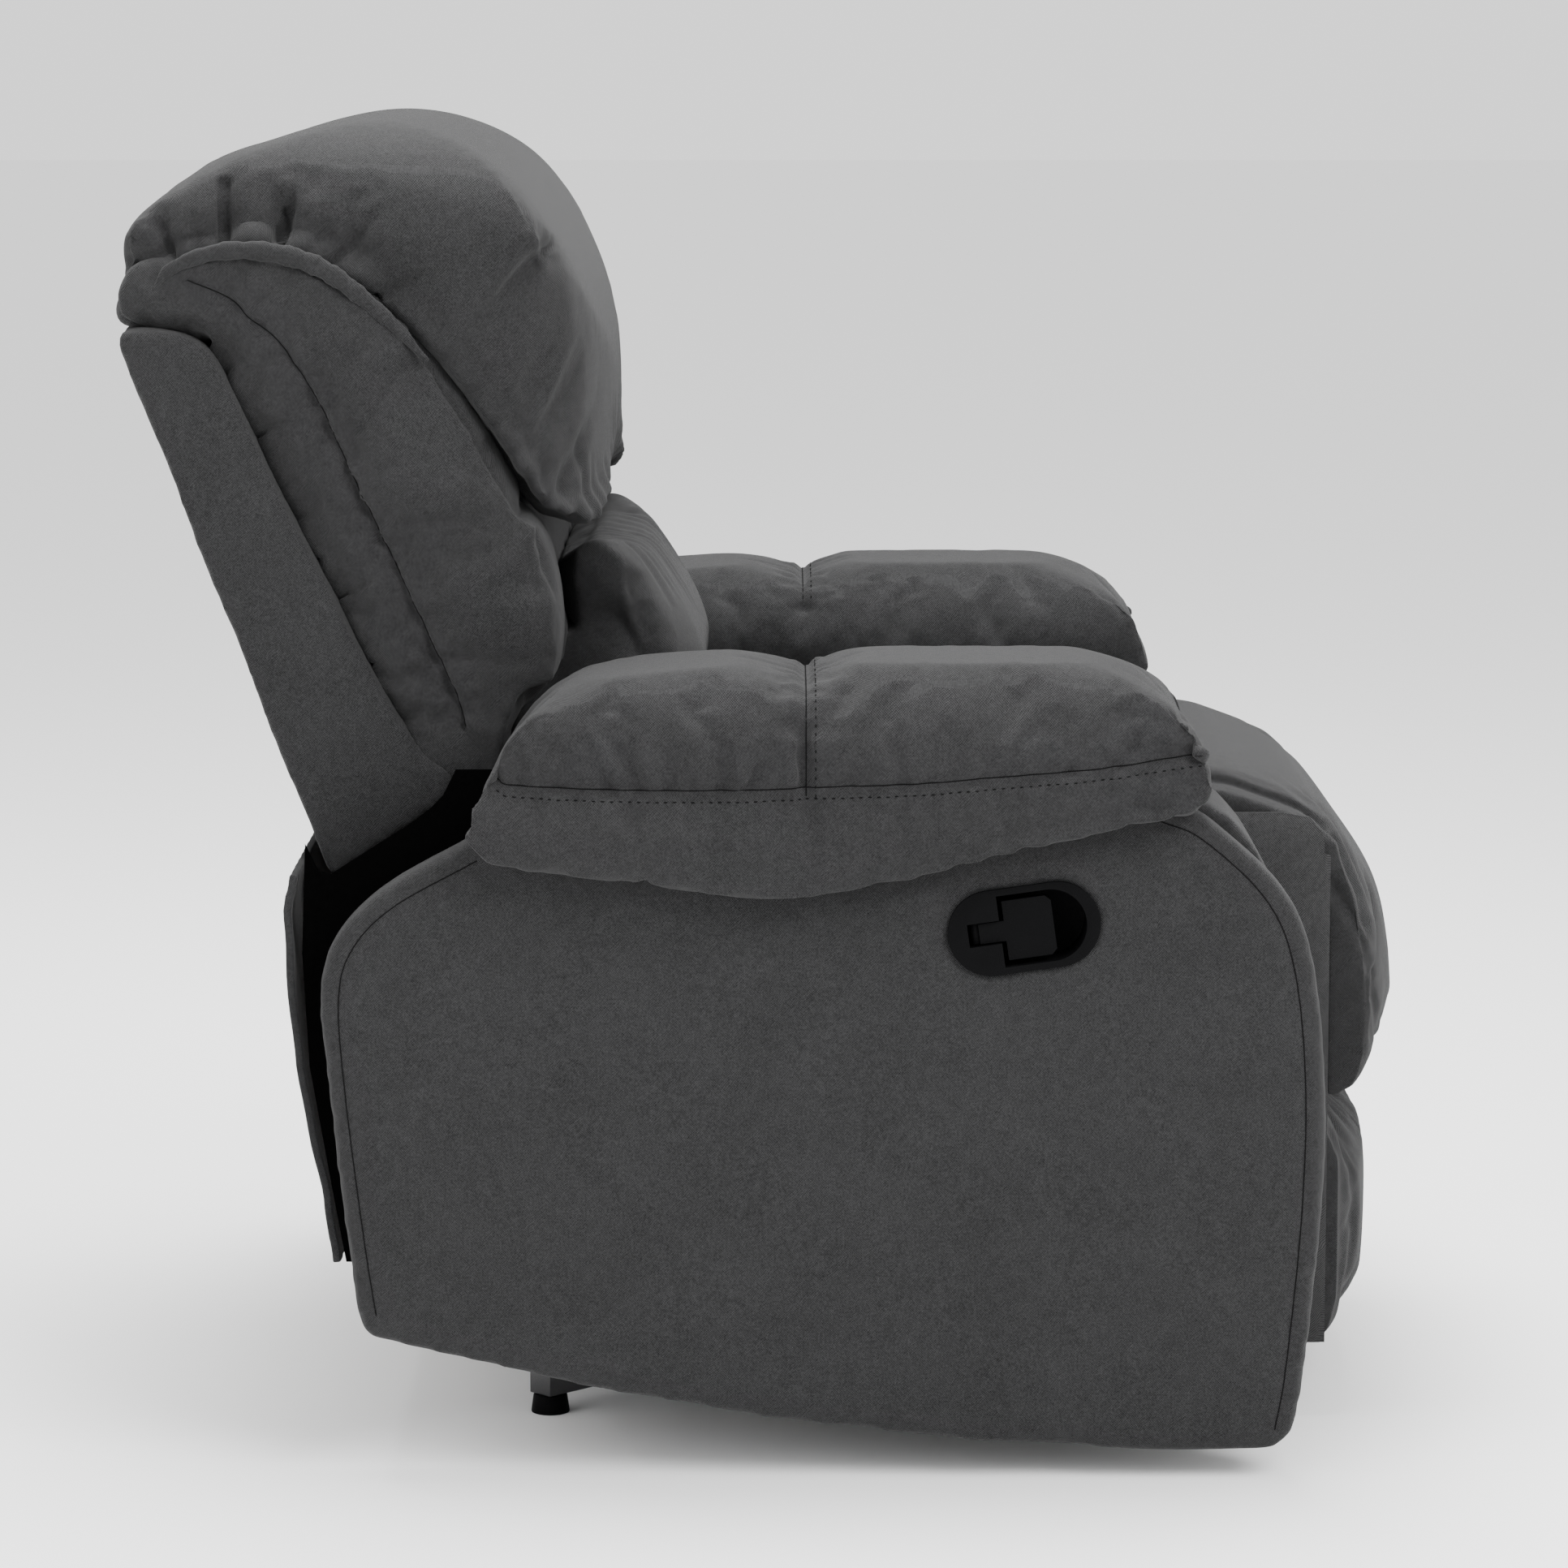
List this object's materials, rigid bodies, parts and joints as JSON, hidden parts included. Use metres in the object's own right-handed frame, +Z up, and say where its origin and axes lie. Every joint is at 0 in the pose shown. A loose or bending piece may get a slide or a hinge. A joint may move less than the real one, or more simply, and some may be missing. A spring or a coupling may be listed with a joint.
{
  "type": "recliner armchair",
  "caption": "Upholstered rocking swivel recliner armchair with padded arms, reclining back, folding footrest and a recessed pull handle in one side.",
  "frame": {"origin": "on the floor, under the middle of the chair's outer box", "axes": "+Z up, -Y the way the sitter faces, +X to the sitter's left"},
  "size_m": [0.95, 0.9737, 0.992],
  "materials": {
    "upholstery": "matte",
    "lining": "matte",
    "timber": "matte",
    "black_steel": "satin",
    "zinc_steel": "satin",
    "black_plastic": "matte"
  },
  "bodies": {
    "base": {"base_cross": "black_steel", "foot_glide_1": "black_plastic", "foot_glide_2": "black_plastic", "foot_glide_3": "black_plastic", "foot_glide_4": "black_plastic"},
    "deck": {"deck_plate": "black_steel", "deck_rail_left": "black_steel", "deck_rail_right": "black_steel", "rocker_spring_left": "zinc_steel", "rocker_spring_right": "zinc_steel"},
    "body": {"side_panel_left": "upholstery", "side_panel_right": "upholstery", "arm_frame_left": "timber", "arm_frame_right": "timber", "arm_pad_left": "upholstery", "arm_pad_right": "upholstery", "rocker_cam_left": "black_steel", "rocker_cam_right": "black_steel", "slide_channel_left": "zinc_steel", "slide_channel_right": "zinc_steel", "front_stretcher": "timber", "rear_stretcher": "timber", "rear_skirt": "upholstery", "handle_bezel": "black_plastic", "release_cable": "black_plastic"},
    "handle": {"release_handle": "black_plastic"},
    "seat": {"seat_rail_left": "timber", "seat_rail_right": "timber", "seat_side_plate_left": "zinc_steel", "seat_side_plate_right": "zinc_steel", "back_bracket_left": "zinc_steel", "back_bracket_right": "zinc_steel", "seat_crossbar_front": "timber", "seat_crossbar_rear": "timber", "seat_spring_1": "black_steel", "seat_spring_2": "black_steel", "seat_spring_3": "black_steel", "seat_cushion": "upholstery"},
    "back": {"back_post_left": "timber", "back_post_right": "timber", "back_side_left": "upholstery", "back_side_right": "upholstery", "wing_left": "upholstery", "wing_right": "upholstery", "back_rail_lower": "timber", "back_rail_top": "timber", "back_panel": "upholstery", "back_core": "lining", "lumbar_pillow": "upholstery", "head_pillow": "upholstery"},
    "drive": {"drive_link_left": "zinc_steel", "drive_link_right": "zinc_steel", "torque_tube": "zinc_steel"},
    "strut": {"strut_link_left": "zinc_steel", "strut_link_right": "zinc_steel"},
    "footrest": {"footrest_board": "timber", "footrest_arm_left": "zinc_steel", "footrest_arm_right": "zinc_steel", "calf_pad": "upholstery", "foot_pad": "upholstery"}
  },
  "joints": [
    {"name": "swivel", "type": "hinge", "parent": "base", "child": "deck", "pos_m": [0, -0.06, 0.045], "axis": [0, 0, 1], "continuous": true},
    {"name": "rock", "type": "hinge", "parent": "deck", "child": "body", "pos_m": [0, 0.012, 0.0933], "axis": [-1, 0, 0], "range_deg": [-2, 8], "stiffness_Nm_per_rad": 900, "deforming": ["rocker_spring_left", "rocker_spring_right"]},
    {"name": "handle_pull", "type": "hinge", "parent": "body", "child": "handle", "pos_m": [-0.433, -0.14934, 0.40913], "axis": [0, 0.1392, 0.9903], "range_deg": [-32, 0], "stiffness_Nm_per_rad": 0.6, "springref_deg": 5.73},
    {"name": "seat_slide", "type": "slide", "parent": "body", "child": "seat", "axis": [0, -0.9781, 0.2079], "range_m": [0, 0.0702]},
    {"name": "back_recline", "type": "hinge", "parent": "seat", "child": "back", "pos_m": [0, 0.225, 0.43], "axis": [-1, 0, 0], "range_deg": [0, 35]},
    {"name": "footrest_open", "type": "hinge", "parent": "seat", "child": "footrest", "pos_m": [0, -0.405, 0.45], "axis": [-1, 0, 0], "range_deg": [0, 80]},
    {"name": "drive_swing", "type": "hinge", "parent": "seat", "child": "drive", "pos_m": [0, -0.25, 0.325], "axis": [-1, 0, 0], "range_deg": [-0.1, 80.1]},
    {"name": "strut_swing", "type": "hinge", "parent": "drive", "child": "strut", "pos_m": [0, -0.23, 0.125], "axis": [-1, 0, 0], "range_deg": [-80.1, 0.1]}
  ],
  "couplings": [
    {"joint": "seat_slide", "follows": "back_recline", "m_per_rad": 0.1146},
    {"joint": "drive_swing", "follows": "footrest_open", "ratio": 1},
    {"joint": "strut_swing", "follows": "footrest_open", "ratio": -1}
  ]
}
